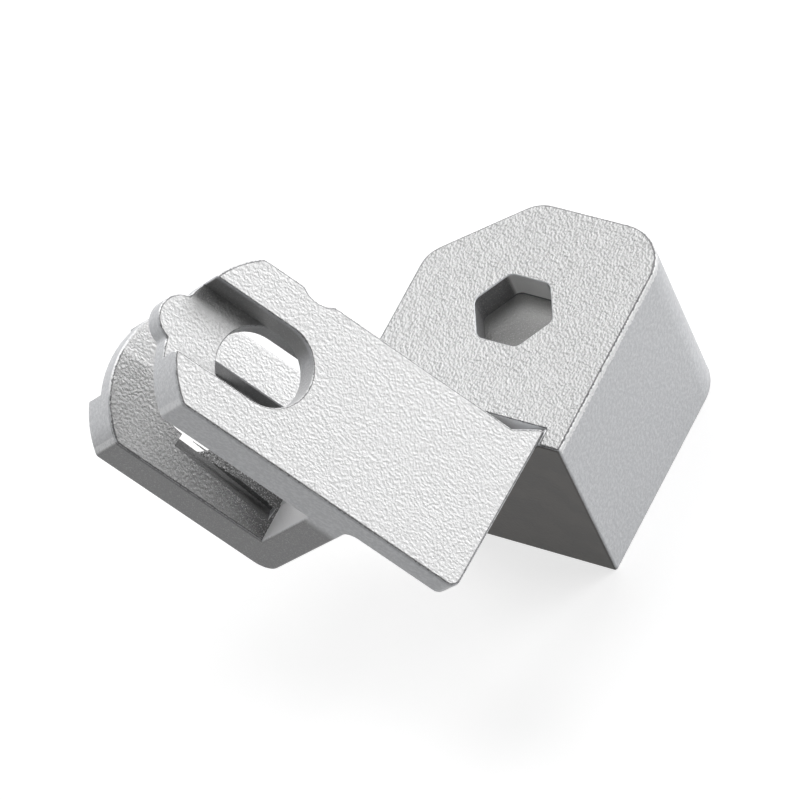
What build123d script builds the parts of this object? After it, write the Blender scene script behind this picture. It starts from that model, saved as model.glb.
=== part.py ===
from build123d import *
import os
from math import cos, sin, sqrt, radians

# Cast cable bracket, one piece, in millimetres.
# A solid block with a blind hexagon pocket carries a flat plate that runs off its
# lower front edge at 45 degrees and ends in a fork of two cheeks.
# Origin: centre of the block's back face. X runs across the block, Y up along it
# and Z out of its front face. The part rests on the block's back face.

# Block
block_width = 42.0
block_height = 46.0
block_depth = 39.0
block_chamfer = 15.3          # legs of the bevel at the upper left corner
chamfer_blend = 6.5           # radius where the bevel runs into the two faces
shoulder_radius = 9.0         # upper right corner
block_edge_radius = 0.6       # rims of the front and back faces, and the lower corners

# Hexagon pocket in the block's front face, for an M8 head or nut
hex_across_flats = 13.6
hex_depth = 6.0
hex_height = 24.0             # centre above the block's underside
hex_corner_radius = 1.8

# Plate, seen square to its front face: x along it, y up
plate_angle = 45.0            # between the plate's face and the block's face
plate_width = 30.4
plate_thickness = 6.0
plate_reach = 47.2            # fork's hole centre to the plate's right end
plate_end_draw = 0.7          # the end leans in by this much at its foot
valley_inset = 4.2            # block's right face to the line where plate and block meet
plate_corner_radius = 2.0
gusset_rise = 3.5             # ramp that lifts the plate's upper edge to the block
gusset_run = 5.2

# Relief under the block's front face, above the plate
relief_height = 3.5
relief_depth = 10.1

# Fork
cheek_thickness = 10.1
fork_gap = 20.2
fork_length = 27.0            # hole centre to the outside of the fork's web
web_thickness = 6.5
end_radius = 19.4             # round of the cheeks' free ends
end_offset = 2.2              # its centre, right of the hole centre
cheek_top_radius = 2.0
cheek_foot_radius = 1.0
rear_corner_radius = 3.5      # web's outside to the rear cheek's outer face
web_root_radius = 2.0         # web's outside to the plate's back

# Recess in each cheek's outer face, open at the free end, and the opening in its floor
recess_width = 14.9
recess_depth = 5.6
opening_width = 15.3
opening_left = 8.0            # hole centre to the opening's left end
opening_stop = 1.3            # web's inner face to the opening's right end
rear_opening_width = 14.5     # its upper edge lines up with the front one's
web_pocket_depth = 0.9        # sunk in the web's inner face, from one opening to the other
rear_flat = 1.9               # filed off the rear opening's lower edge, widest at the web

# Nick in the front cheek's upper edge
nick_radius = 5.0
nick_depth = 1.1
nick_x = 1.6

# Rounded lug on the recess floor of the front cheek
lug_width = 8.7
lug_reach = 20.2              # hole centre to its tip
lug_root_radius = 1.0         # where its sides meet the round of the free end

# Cast edges
edge_radius = 0.55            # plate and fork
relief_rim_radius = 0.4
recess_rim_radius = 0.4       # rims of the front recess and of the lug
rear_recess_break = 0.3       # edges of the rear cheek's recess, broken flat
opening_break = 0.2           # edges broken flat round the opening in the recess floor
hex_break = 0.15              # the same at the mouth of the hexagon pocket

half_width = plate_width / 2
floor_thickness = cheek_thickness - recess_depth
fork_depth = 2 * cheek_thickness + fork_gap
fork_centre_y = -block_height / 2 - half_width
tilt = radians(plate_angle)
along = Vector(cos(tilt), 0, -sin(tilt))
outward = Vector(sin(tilt), 0, cos(tilt))
valley = Vector(block_width / 2 - valley_inset, fork_centre_y, block_depth)
front_face = Plane(origin=valley - along * plate_reach, x_dir=along, z_dir=outward)
plan_face = Plane(origin=front_face.origin, x_dir=along, z_dir=(0, 1, 0))


def standing(edges):
    """Only the edges that stand out, not the inward and the smooth ones."""
    return [edge for edge in edges if not edge.is_interior]


def cut(body, tool, radius=0, flat=0):
    """Take a tool away, then round the standing edges that this leaves or break them flat."""
    rest = body - tool
    rims = standing(new_edges(body, combined=rest))
    if flat:
        return chamfer(rims, flat)
    return fillet(rims, radius)


def block_body():
    """The block, a prism along Z with one bevelled and three rounded corners."""
    left = -block_width / 2
    right = block_width / 2
    foot = -block_height / 2
    top = block_height / 2
    outline = make_face(Polyline(
        (left, foot),
        (right, foot),
        (right, top),
        (left + block_chamfer, top),
        (left, top - block_chamfer),
        close=True,
    ))
    shoulder = outline.vertices().sort_by_distance((right, top, 0))[0]
    outline = fillet(shoulder, shoulder_radius)
    for corner in ((left + block_chamfer, top, 0), (left, top - block_chamfer, 0)):
        blend = outline.vertices().sort_by_distance(corner)[0]
        outline = fillet(blend, chamfer_blend)
    body = extrude(outline, block_depth)
    rims = body.edges().group_by(Axis.Z)
    feet = body.edges().filter_by(Axis.Z).group_by(Axis.Y)[0]
    return fillet(rims[0] + rims[-1] + feet, block_edge_radius)


def hex_pocket():
    """The blind pocket, with two flats level."""
    pocket_y = hex_height - block_height / 2
    shape = RegularPolygon(hex_across_flats / 2, 6, major_radius=False)
    shape = fillet(shape.vertices(), hex_corner_radius)
    return extrude(Pos(0, pocket_y, block_depth) * shape, -hex_depth)


def fork_outline():
    """Side outline of plate and cheeks, seen square to the plate's front face."""
    corner_x = end_offset - sqrt(end_radius**2 - half_width**2)
    foot_x = plate_reach - plate_end_draw
    edge = Line((corner_x, -half_width), (foot_x, -half_width))
    edge += Line(edge @ 1, (plate_reach, half_width))
    edge += Line(edge @ 1, (plate_reach, half_width + gusset_rise))
    edge += Line(edge @ 1, (plate_reach - gusset_run, half_width))
    edge += Line(edge @ 1, (corner_x, half_width))
    tip = (end_offset - end_radius, 0)
    edge += ThreePointArc((corner_x, half_width), tip, (corner_x, -half_width))
    outline = make_face(edge)
    free_corners = outline.vertices().group_by(Axis.X)[0].sort_by(Axis.Y)
    outline = fillet(free_corners[0], cheek_foot_radius)
    top_corner = outline.vertices().sort_by_distance((corner_x, half_width, 0))[0]
    outline = fillet(top_corner, cheek_top_radius)
    foot = outline.vertices().sort_by_distance((foot_x, -half_width, 0))[0]
    return fillet(foot, plate_corner_radius)


def fork_plan():
    """Plan of plate, web and cheeks, seen along Y: x along the plate, y into the depth."""
    free_end = end_offset - end_radius
    web_face = fork_length - web_thickness
    near_cheek = cheek_thickness
    far_cheek = cheek_thickness + fork_gap
    plan = make_face(Polyline(
        (free_end, 0),
        (plate_reach, 0),
        (plate_reach, plate_thickness),
        (fork_length, plate_thickness),
        (fork_length, fork_depth),
        (free_end, fork_depth),
        (free_end, far_cheek),
        (web_face, far_cheek),
        (web_face, near_cheek),
        (free_end, near_cheek),
        close=True,
    ))
    for corner, radius in (
        ((fork_length, plate_thickness, 0), web_root_radius),
        ((fork_length, fork_depth, 0), rear_corner_radius),
    ):
        spot = plan.vertices().sort_by_distance(corner)[0]
        plan = fillet(spot, radius)
    return plan


def fork_body():
    """Plate, web and cheeks: the plan run along Y, kept inside the side outline."""
    reach = half_width + gusset_rise
    upright = extrude(plan_face * fork_plan(), reach, both=True)
    side = extrude(front_face * fork_outline(), -fork_depth)
    body = (upright & side) - nick()
    return fillet(standing(body.edges()), edge_radius)


def nick():
    """A shallow round hollow across the front cheek's upper edge."""
    shape = Pos(nick_x, half_width + nick_radius - nick_depth) * Circle(nick_radius)
    return extrude(front_face * shape, -cheek_thickness)


def strip(width, left, right):
    """Outline along x that is round at its left end and square at its right."""
    radius = width / 2
    edge = Line((right, radius), (left + radius, radius))
    edge += ThreePointArc(edge @ 1, (left, 0), (left + radius, -radius))
    edge += Line(edge @ 1, (right, -radius))
    edge += Line(edge @ 1, (right, radius))
    return make_face(edge)


def recess_tool(floor_offset, depth):
    """The channel sunk in one outer face, square and open at the free end."""
    shape = Rot(0, 0, 180) * strip(recess_width, -recess_width / 2, end_radius)
    return extrude(front_face.offset(floor_offset) * shape, depth)


def opening_tools():
    """The openings through the two recess floors."""
    right = fork_length - web_thickness - opening_stop
    rear_rise = (opening_width - rear_opening_width) / 2
    front_shape = strip(opening_width, -opening_left, right)
    rear_shape = Pos(0, rear_rise) * strip(rear_opening_width, -opening_left, right)
    rear_floor = front_face.offset(recess_depth - fork_depth)
    front = extrude(front_face.offset(-recess_depth) * front_shape, -floor_thickness)
    return front + extrude(rear_floor * rear_shape, floor_thickness)


def web_pocket():
    """The shallow pocket in the web's inner face that joins the two openings."""
    web_face = fork_length - web_thickness
    length = opening_stop + web_pocket_depth
    shape = Pos(web_face - opening_stop + length / 2, 0) * Rectangle(length, opening_width)
    return extrude(front_face.offset(-recess_depth) * shape, 2 * recess_depth - fork_depth)


def rear_flat_tool():
    """The flat along the rear opening's lower inner edge: nothing at its round end."""
    inner_face = front_face.offset(-cheek_thickness - fork_gap)
    lower_y = opening_width / 2 - rear_opening_width
    web_face = fork_length - web_thickness
    start = inner_face.from_local_coords(Vector(rear_opening_width / 2 - opening_left, lower_y, 0))
    foot = inner_face.from_local_coords(Vector(web_face, lower_y - rear_flat, 0))
    root = inner_face.from_local_coords(Vector(web_face, lower_y, -rear_flat))
    flat = Plane(origin=start, x_dir=foot - start, z_dir=(root - start).cross(foot - start))
    length = (foot - start).length - rear_flat / 4
    return extrude(flat * Pos(length / 2, 0) * Rectangle(length, 3 * rear_flat), rear_flat)


def lug():
    """The rounded lug at the free end of the front cheek's recess floor."""
    root = end_offset - end_radius + lug_width / 2
    shape = strip(lug_width, -lug_reach, root)
    body = extrude(front_face.offset(-recess_depth) * shape, -floor_thickness)
    outer = body.faces().sort_by(Axis(front_face.origin, outward))[-1]
    return fillet(outer.edges(), recess_rim_radius)


def lug_roots(body):
    """The two inward edges where the lug's sides meet the round of the free end."""
    side = lug_width / 2
    root_x = end_offset - sqrt(end_radius**2 - side**2)
    middle = front_face.offset(-recess_depth - floor_thickness / 2)
    upright = body.edges().filter_by(Axis(front_face.origin, outward))
    spots = [middle.from_local_coords(Vector(root_x, y, 0)) for y in (-side, side)]
    return [upright.sort_by_distance(spot)[0] for spot in spots]


def relief_tool():
    """Step under the block's front face that clears the plate's upper edge."""
    shape = Pos(plate_reach / 2, half_width + relief_height / 2) * Rectangle(plate_reach, relief_height)
    return extrude(front_face * shape, -relief_depth) + extrude(front_face * shape, block_depth)


fork = cut(fork_body(), recess_tool(-recess_depth, recess_depth), radius=recess_rim_radius)
fork = cut(fork, recess_tool(recess_depth - fork_depth, -recess_depth), flat=rear_recess_break) + lug()
fork = fillet(lug_roots(fork), lug_root_radius)
fork = cut(fork, opening_tools(), flat=opening_break) - web_pocket() - rear_flat_tool()
block = cut(block_body(), hex_pocket(), flat=hex_break)
block = cut(block, relief_tool(), radius=relief_rim_radius)
bracket = fork + block

os.makedirs("parts", exist_ok=True)
bracket.label = "cast_bracket"
export_step(bracket, "parts/cast_bracket.step")
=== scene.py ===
import bpy
from math import radians
from mathutils import Matrix, Vector

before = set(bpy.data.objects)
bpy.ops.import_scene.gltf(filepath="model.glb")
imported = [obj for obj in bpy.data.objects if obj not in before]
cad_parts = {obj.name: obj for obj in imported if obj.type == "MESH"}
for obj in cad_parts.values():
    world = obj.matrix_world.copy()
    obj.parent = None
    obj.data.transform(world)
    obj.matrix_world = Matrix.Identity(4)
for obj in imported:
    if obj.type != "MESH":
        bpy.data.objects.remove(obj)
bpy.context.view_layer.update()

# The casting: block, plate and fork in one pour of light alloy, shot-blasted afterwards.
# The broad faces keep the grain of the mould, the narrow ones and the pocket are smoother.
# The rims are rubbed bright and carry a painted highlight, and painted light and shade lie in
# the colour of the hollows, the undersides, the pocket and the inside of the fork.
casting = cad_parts["cast_bracket"]

alloy_colour = (0.66, 0.66, 0.662, 1)
# Painted shade and painted light for the two sides of the block's grain lumps; the light one also
# lightens the rear cheek's upper part.
grain_shade_colour = (0.50, 0.50, 0.502, 1)
painted_light_colour = (0.84, 0.84, 0.842, 1)
side_colour = (0.58, 0.59, 0.61, 1)
side_speck = (0.68, 0.69, 0.71, 1)
# Bright wear with a painted highlight on the rims, also used for painted glints.
wear_and_highlight_colour = (0.95, 0.95, 0.955, 1)
# From here down, painted shade and painted light: the line beside the rims, the hollows, the rear
# cheek, the walls, the undersides and the pocket.
painted_shade_colour = (0.16, 0.16, 0.165, 1)
hollow_shade_colour = (0.295, 0.295, 0.295, 1)
rear_cheek_shade_colour = (0.15, 0.15, 0.15, 1)
recess_upper_wall_shade = (0.30, 0.30, 0.30, 1)
web_underside_shade = (0.215, 0.215, 0.22, 1)
inner_web_light_colour = (0.85, 0.85, 0.86, 1)
slot_end_light_colour = (0.72, 0.72, 0.73, 1)
foot_shade_colour = (0.064, 0.060, 0.055, 1)
underside_stain_in_shade = (0.080, 0.073, 0.066, 1)
relief_light_colour = (0.70, 0.70, 0.71, 1)
pocket_wall_light_colour = (0.95, 0.95, 0.94, 1)
right_pocket_wall_shade = (0.42, 0.42, 0.42, 1)
floor_of_pocket_shade = (0.185, 0.185, 0.182, 1)
floor_of_pocket_light = (0.42, 0.42, 0.415, 1)

# Directions: square to the plate, out of its free end, along it towards the block, and the
# ways in which the grain and the painted light on the pocket's floor run.
plate_axis = (0.7071, 0, 0.7071)
end_axis = (-0.7071, 0, 0.7071)
along_axis = (0.7071, 0, -0.7071)
plate_stroke = (0.599, -0.476, -0.645)
block_stroke = (0.3, -0.954, 0)
pocket_shade_axis = (-0.45, 0.89, 0)

# The block: its faces and its pocket. All lengths are in metres.
block_left = -0.0145
block_front = 0.0388
block_foot = -0.0215
gusset_top = -0.0197
gusset_right = 0.0170
pocket_middle = 0.001
pocket_half_width = 0.0085
pocket_half_height = 0.0077
pocket_bottom = 0.0333
crease_width = 0.00015

# The plate and the fork: heights, places along the plate, and levels counted outwards to
# the plate's front face.
plate_top = -0.0231
recess_shadow_foot = -0.0338
slot_middle = -0.0382
slot_half_width = 0.0079
slot_centre_along = -0.0629
rear_slot_foot = -0.04975
rear_slot_left = -0.0095
fork_foot = -0.0525
recess_rim = 0.03875
recess_floor_level = 0.0343
web_front = 0.0280
rear_cheek_front = 0.0110
web_edge_front = 0.0096
web_rear = 0.00875

grain_size = 0.00047
block_grain_size = grain_size * 0.9
speck_size = grain_size * 0.45
mottle_size = 0.0007
stain_size = 0.006
grain_depth = 0.00012
rim_wander = 0.0014
hollow_reach = 0.03
lean = (0.00014, 0.00005, 0)


class Socket:
    """A shader socket that adds its Math nodes when it is used in an expression."""

    def __init__(self, tree, link):
        self.tree = tree
        self.link = link

    def math(self, operation, *values):
        inputs = dict(enumerate(values))
        return node(self.tree, "ShaderNodeMath", {"operation": operation}, inputs)["Value"]

    def __add__(self, other):
        return self.math("ADD", self, other)

    def __sub__(self, other):
        return self.math("SUBTRACT", self, other)

    def __rsub__(self, other):
        return self.math("SUBTRACT", other, self)

    def __mul__(self, other):
        return self.math("MULTIPLY", self, other)

    def __abs__(self):
        return self.math("ABSOLUTE", self)

    __radd__ = __add__
    __rmul__ = __mul__


def node(tree, kind, settings=None, inputs=None):
    """Adds a node, sets it up and returns its outputs by name as sockets."""
    made = tree.nodes.new(kind)
    for name, value in (settings or {}).items():
        setattr(made, name, value)
    for name, value in (inputs or {}).items():
        if isinstance(value, Socket):
            tree.links.new(value.link, made.inputs[name])
        else:
            made.inputs[name].default_value = value
    return {out.name: Socket(tree, out) for out in made.outputs if out.enabled}


def vector_math(tree, operation, inputs, result="Vector"):
    return node(tree, "ShaderNodeVectorMath", {"operation": operation}, inputs)[result]


def dot(vector, axis):
    return vector_math(vector.tree, "DOT_PRODUCT", {0: vector, 1: axis}, "Value")


def stretched(vector, axis, times):
    """The vector shortened along an axis, which draws a pattern out that many times."""
    excess = dot(vector, axis) * (1 - 1 / times)
    shift = vector_math(vector.tree, "SCALE", {0: axis, "Scale": excess})
    return vector_math(vector.tree, "SUBTRACT", {0: vector, 1: shift})


def noise(vector, size, detail):
    return node(vector.tree, "ShaderNodeTexNoise", inputs={
        "Vector": vector, "Scale": 1 / size, "Detail": detail, "Roughness": 0.5})["Fac"]


def ramp(value, start, end):
    """0 before start, 1 after end and smooth in between."""
    return node(value.tree, "ShaderNodeMapRange", {"interpolation_type": "SMOOTHSTEP"},
                {"Value": value, "From Min": start, "From Max": end})["Result"]


def over(value, edge, blur=0.0001):
    return ramp(value, edge - blur, edge + blur)


def under(value, edge, blur=0.0001):
    return ramp(value, edge + blur, edge - blur)


def larger(first, second):
    return first.math("MAXIMUM", first, second)


def blend(share, first, second):
    """The first colour where share is 0, the second where it is 1."""
    return node(share.tree, "ShaderNodeMix", {"data_type": "RGBA"},
                {0: share, 6: first, 7: second})["Result"]


metal = bpy.data.materials.new("as_cast_alloy")
metal.use_nodes = True
tree = metal.node_tree
tree.nodes.clear()
coordinates = node(tree, "ShaderNodeTexCoord")
place = coordinates["Object"]
normal = coordinates["Normal"]
at = node(tree, "ShaderNodeSeparateXYZ", inputs={"Vector": place})
facing = node(tree, "ShaderNodeSeparateXYZ", inputs={"Vector": normal})
outward = dot(place, plate_axis)
along = dot(place, along_axis) - slot_centre_along

# Which part of the casting a point is on.
above_plate = over(at["Y"], plate_top)
past_gusset = larger(over(at["Y"], gusset_top, 0.0002), over(at["X"], gusset_right, 0.0002))
on_block = above_plate * larger(past_gusset, under(at["X"], block_left, 0.0005))
by_pocket = (under(abs(at["X"]), pocket_half_width)
             * under(abs(at["Y"] - pocket_middle), pocket_half_height))
in_pocket = by_pocket * under(at["Z"], block_front, 0.00005)
by_slot = under(abs(at["Y"] - slot_middle), slot_half_width)
below_slot = under(at["Y"], slot_middle, 0.001)
on_rear_cheek = under(outward, rear_cheek_front, 0.0005) * (1 - above_plate)
rear_upper = on_rear_cheek * (1 - below_slot)

# Which way the face there looks.
front = facing["Z"] * on_block + dot(normal, plate_axis) * (1 - on_block)
slant = 1 - front * front
endways = dot(normal, end_axis)
either_end = endways * endways
broad = ramp(abs(front), 0.70, 0.95) * (1 - in_pocket)
underneath = ramp(facing["Y"], -0.6, -0.9)
not_underneath = ramp(facing["Y"], -0.45, -0.15)

# The grain: rounded lumps drawn out a little one way, with finer specks on them. It is
# deepest on the block and on the lower half of the rear cheek.
on_plate_grain = noise(stretched(place, plate_stroke, 1.1), grain_size, 0.8)
block_place = stretched(place, block_stroke, 1.25)
on_block_grain = noise(block_place, block_grain_size, 0.8)
# On the block each lump's lit side is painted lighter and its other side darker: painted light and
# shade on the grain.
leaning = vector_math(tree, "ADD", {0: block_place, 1: lean})
lit_side = on_block_grain - noise(leaning, block_grain_size, 0.8)
lumps = on_plate_grain + (on_block_grain - on_plate_grain) * on_block
specks = noise(place, speck_size, 1.0)
glint_flecks = ramp(specks, 0.58, 0.68)
grain = broad * (0.5 + 3 * on_block + 2 * on_rear_cheek * below_slot) + 0.6 - 0.4 * underneath
bumped = node(tree, "ShaderNodeBump", inputs={
    "Height": (lumps + 0.2 * specks) * grain, "Distance": grain_depth})["Normal"]

# The rims: rubbed bright and given a painted highlight, with a thin uneven line of painted shade
# beside the broad face.
uneven = slant * (2.5 * lumps - 0.25)
not_far_end = ramp(endways, -0.35 - 2 * on_block, -0.1 - 2 * on_block)
rim_wear_and_highlight = ramp(uneven, 0.28, 0.40) * ramp(slant, 0.995, 0.93) * not_underneath * not_far_end
beside_face = (ramp(at["Z"] + rim_wander * lumps, block_front - 0.0004, block_front - 0.00025)
               * ramp(slant, 0.4, 0.6) * on_block * not_underneath)
foot_corners = (under(at["Y"], fork_foot) * ramp(either_end, 0.05, 0.30)
                * ramp(either_end, 0.97, 0.80) * ramp(abs(front), 0.3, 0.1))
edge_wear_and_highlight = larger(larger(rim_wear_and_highlight, beside_face) * (1 - by_pocket), 0.4 * foot_corners)
patchy_wear_and_highlight = edge_wear_and_highlight * (0.45 + 0.5 * ramp(lumps, 0.38, 0.52))
rim_shade_line = (ramp(uneven, 0.015, 0.05) * ramp(uneven, 0.40, 0.28) * ramp(slant, 0.7, 0.5)
         * (1 - by_pocket) * (1 - rear_upper))

# The sides of the web, the walls of the openings and the underside of the block: painted shade on
# the faces that look down, with random stains on the block's underside, and painted light on the
# web's inside, the openings' far ends and the relief's ceiling.
on_web = underneath * (1 - above_plate) * under(outward, web_front, 0.0015)
web_inside = (ramp(endways, 0.85, 0.95) * under(outward, web_front + 0.0015, 0.0005)
              * over(outward, web_rear, 0.00025))
web_edge = web_inside * under(outward, web_edge_front, 0.0002)
opening_end = ramp(endways, 0.35, 0.75) * by_slot * over(along, 0.006, 0.002)
on_foot = underneath * above_plate * under(at["Y"], block_foot, 0.001)
foot_stain = ramp(noise(place, stain_size, 3.0), 0.38, 0.62)
on_relief = underneath * over(at["Y"], block_foot + 0.0005, 0.0005)

# The recess: painted shade on its wall, and the shadow that its upper edge leaves on the floor,
# painted on.
recess_wall = (underneath * by_slot * over(outward, recess_floor_level - 0.0004, 0.0005)
               * under(outward, recess_rim, 0.00045))
recess_floor = (broad * under(outward, recess_floor_level, 0.0007)
                * (1 - on_rear_cheek) * (1 - on_block))
recess_shadow = recess_floor * over(at["Y"], recess_shadow_foot, 0.0008)
recess_dark = blend(ramp(along, -0.008, -0.014), hollow_shade_colour, rear_cheek_shade_colour)

# The pocket: its left and right walls, its floor and the crease round it, in painted light and
# shade. The left wall, the right walls, the crease and the floor are painted darker, the other walls
# lighter, and the floor lighter towards the top left.
pocket_left = in_pocket * ramp(facing["X"], 0.6, 0.9)
pocket_right = ramp(facing["X"], -0.1, -0.3)
pocket_floor = in_pocket * ramp(facing["Z"], 0.5, 0.8)
pocket_far = ramp(dot(place, pocket_shade_axis), -0.001, 0.0065)
pocket_crease = (in_pocket * (1 - pocket_floor)
                 * ramp(at["Z"], pocket_bottom + crease_width, pocket_bottom))

# What little light reaches: the hollows of the fork and the inside of the rear cheek.
hollow = node(tree, "ShaderNodeAmbientOcclusion", {"samples": 8}, {"Distance": hollow_reach})["AO"]
shade = (ramp(hollow, 0.78, 0.48) * (1 - on_foot) * (1 - on_block)
         * ramp(endways, 0.6, 0.3) * (1 - rear_upper))
rear_shade = on_rear_cheek * ramp(hollow, 0.78, 0.50) * below_slot * broad
near_slot = (below_slot * over(at["Y"], rear_slot_foot, 0.00025)
             * over(along, rear_slot_left, 0.0005))
rear_rim = on_rear_cheek * near_slot * ramp(slant, 0.005, 0.03) * ramp(either_end, 0.8, 0.4)

# The colours, each laid over those before it.
# Painted light and shade on the block's grain lumps.
block_grain_light_and_shade = blend(ramp(lit_side, -0.10, 0.10), grain_shade_colour, painted_light_colour)
side_mottle = ramp(noise(place, mottle_size, 3.0), 0.40, 0.66)
skin_colour = blend(broad, blend(side_mottle, side_colour, side_speck),
                    blend(on_block, alloy_colour, block_grain_light_and_shade))
for share, colour in (
        # Painted shade on the faces of the web that look down.
        (on_web, web_underside_shade),
        # Painted light on the far ends of the openings.
        (opening_end, slot_end_light_colour),
        # Painted light on the web's inside.
        (web_inside, inner_web_light_colour),
        # Painted shade on the block's underside, with random stains in it.
        (on_foot, blend(foot_stain, foot_shade_colour, underside_stain_in_shade)),
        # Painted light on the relief's ceiling.
        (on_relief, relief_light_colour),
        # Painted shade on the recess's upper wall.
        (recess_wall, recess_upper_wall_shade),
        # Painted light on the pocket's walls, painted shade on its right walls.
        (in_pocket, blend(pocket_right, pocket_wall_light_colour, right_pocket_wall_shade)),
        # Painted shade on the pocket's left wall.
        (pocket_left, painted_shade_colour),
        # Painted shade on the pocket's floor, with painted light towards its top left.
        (pocket_floor, blend(pocket_far, floor_of_pocket_shade, floor_of_pocket_light)),
        # Painted shade in the hollows.
        (shade, hollow_shade_colour),
        # Painted shadow of the recess's upper edge on its floor.
        (0.9 * recess_shadow, recess_dark),
        # Painted light on the upper part of the rear cheek.
        (0.1 * rear_upper * broad, painted_light_colour),
        # Wear and painted highlight on the rims, painted highlight on the web's edge.
        (larger(patchy_wear_and_highlight, web_edge), wear_and_highlight_colour),
        # Painted shade beside the rims and in the pocket's crease.
        (larger(0.85 * rim_shade_line, pocket_crease), painted_shade_colour),
        # Painted shade on the rear cheek's lower half and along its slot.
        (larger(rear_shade, rear_rim), rear_cheek_shade_colour),
        # Painted glints: bright flecks, more of them in the rear cheek's painted shade.
        (glint_flecks * (0.2 + 0.45 * rear_shade) * (1 - on_foot), wear_and_highlight_colour)):
    skin_colour = blend(share, skin_colour, colour)

skin = node(tree, "ShaderNodeBsdfPrincipled", inputs={
    "Base Color": skin_colour, "Metallic": 0.2, "Roughness": 0.42, "Normal": bumped})["BSDF"]
node(tree, "ShaderNodeOutputMaterial", inputs={"Surface": skin})
for holder in casting.material_slots:
    holder.material = metal

# The floor.
# A sheet of pale card, lit a little by itself for whatever looks straight at it or mirrors
# it: in the open that adds up to white, and the part's soft shadow stays on it.
floor_size = 8.0
floor_level = -0.00005
card_colour = (0.5, 0.5, 0.5, 1)
card_glow = 0.735


def looked_at(tree):
    """1 for what looks straight at a surface, mirrors it or sees it through glass."""
    rays = node(tree, "ShaderNodeLightPath")
    mirrored = larger(rays["Is Camera Ray"], rays["Is Glossy Ray"])
    return larger(mirrored, rays["Is Transmission Ray"])


bpy.ops.object.select_all(action="DESELECT")
bpy.ops.mesh.primitive_plane_add(size=floor_size, location=(0, 0, floor_level))
floor = bpy.context.object
floor.name = "floor"
card = bpy.data.materials.new("pale_card")
card.use_nodes = True
tree = card.node_tree
tree.nodes.clear()
matt = node(tree, "ShaderNodeBsdfDiffuse", inputs={"Color": card_colour})["BSDF"]
glow = node(tree, "ShaderNodeEmission", inputs={"Strength": looked_at(tree) * card_glow})["Emission"]
both = node(tree, "ShaderNodeAddShader", inputs={0: matt, 1: glow})["Shader"]
node(tree, "ShaderNodeOutputMaterial", inputs={"Surface": both})
floor.data.materials.append(card)

# The room.
# White all round for what looks straight at it or mirrors it, and dark for the rest, so
# that the shape is drawn by the lamps alone.
room = bpy.data.worlds.new("white_room")
bpy.context.scene.world = room
room.use_nodes = True
tree = room.node_tree
tree.nodes.clear()
white = node(tree, "ShaderNodeBackground", inputs={"Strength": looked_at(tree)})["Background"]
node(tree, "ShaderNodeOutputWorld", inputs={"Surface": white})

# The camera.
# The eye point, and the directions of the picture's right and up.
eye = Vector((0.4701, -0.4310, 0.8530))
right = Vector((0.85243, 0.43969, -0.28293)).normalized()
up = Vector((-0.2349, 0.80549, 0.54406)).normalized()
back = right.cross(up).normalized()
up = back.cross(right).normalized()
view = bpy.data.cameras.new("camera")
view.sensor_width = 36.0
view.lens = 270.0
view.clip_end = 50.0
camera = bpy.data.objects.new("camera", view)
bpy.context.scene.collection.objects.link(camera)
turn = Matrix((right, up, back)).transposed().to_4x4()
camera.matrix_world = Matrix.Translation(eye) @ turn
bpy.context.scene.camera = camera

# The lamps.
# Far, soft lamps: where each stands as seen from the part, its width in degrees and its
# strength in watts to the square metre.
lamps = {
    "key": ((0.79, 0.38, 0.47), 20, 0.46),
    "top": ((0.6, 0.75, 0.35), 30, 1.77),
    "front_left": ((-0.25, 0.3, 0.92), 30, 0.95),
    "far_left": ((-0.75, 0.3, 0.6), 30, 0.90),
    "left": ((-0.9, 0.1, 0.4), 40, 0.65),
}
for name, (direction, width, watts) in lamps.items():
    lamp = bpy.data.lights.new(name, "SUN")
    lamp.angle = radians(width)
    lamp.energy = watts
    stand = bpy.data.objects.new(name, lamp)
    bpy.context.scene.collection.objects.link(stand)
    stand.rotation_euler = Vector(direction).to_track_quat("Z", "Y").to_euler()

bpy.context.scene.view_settings.view_transform = "Standard"
